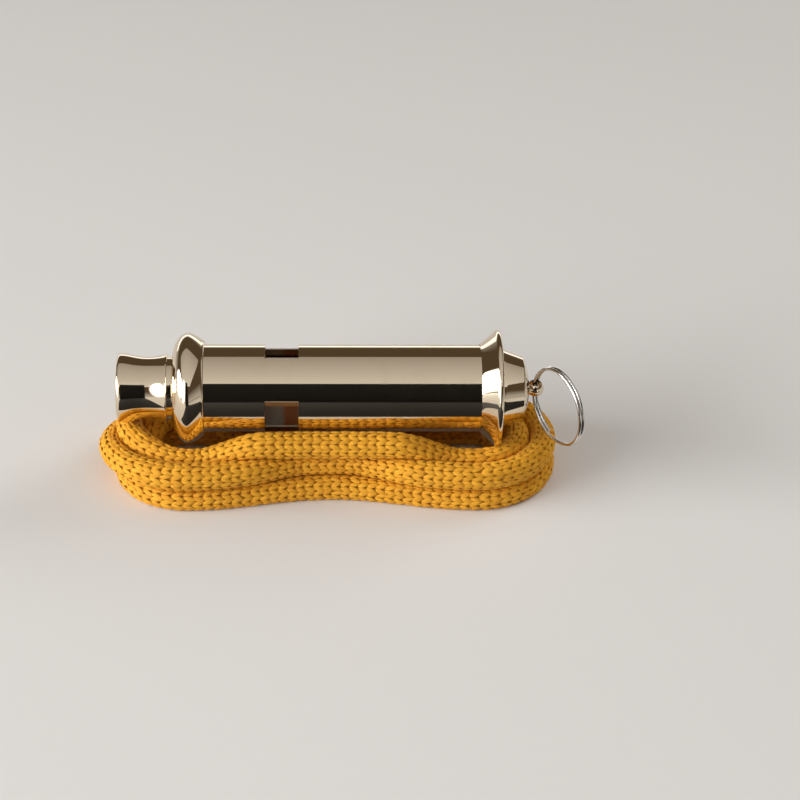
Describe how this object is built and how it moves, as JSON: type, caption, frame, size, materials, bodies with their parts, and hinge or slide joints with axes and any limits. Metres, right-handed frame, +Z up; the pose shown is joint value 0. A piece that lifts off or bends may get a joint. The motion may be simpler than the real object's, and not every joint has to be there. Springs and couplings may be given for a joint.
{
  "type": "referee whistle",
  "caption": "Round metal tube whistle with a waisted mouthpiece, side windows into tuned chambers, a flared end flange and a swinging split ring, lying on its folded neck cord.",
  "frame": {"origin": "at the height of the whistle's axis, half way along from the mouthpiece's tip to the far side of the split ring at rest, and half way across from the flange's far side to the ring's near side", "axes": "+X along the whistle from the mouthpiece to the ring, +Z up, -Y towards the pictured side"},
  "size_m": [0.0935, 0.0316, 0.0295],
  "materials": {
    "nickel_plate": "polished nickel plate over brass, slightly warm",
    "bare_brass": "bare, dulled",
    "ring_steel": "bright plated spring steel",
    "amber_cord": "knitted, matte with a soft sheen"
  },
  "bodies": {
    "whistle": {"mouthpiece": "nickel_plate", "bead_collar": "nickel_plate", "barrel": "nickel_plate", "end_flange": "nickel_plate", "end_cap": "nickel_plate", "ring_eye": "nickel_plate", "chamber_divider": "bare_brass", "airway_block_high": "bare_brass", "airway_block_middle": "bare_brass", "airway_block_low": "bare_brass", "chamber_stop_high": "bare_brass", "chamber_stop_middle": "bare_brass", "chamber_stop_low": "bare_brass", "lanyard": "amber_cord"},
    "ring": {"split_ring": "ring_steel"}
  },
  "joints": [
    {"name": "ring_swing", "type": "hinge", "parent": "whistle", "child": "ring", "pos_m": [0.03643, 0.0013, 0], "axis": [0, 0, 1], "range_deg": [-50, 170]}
  ]
}
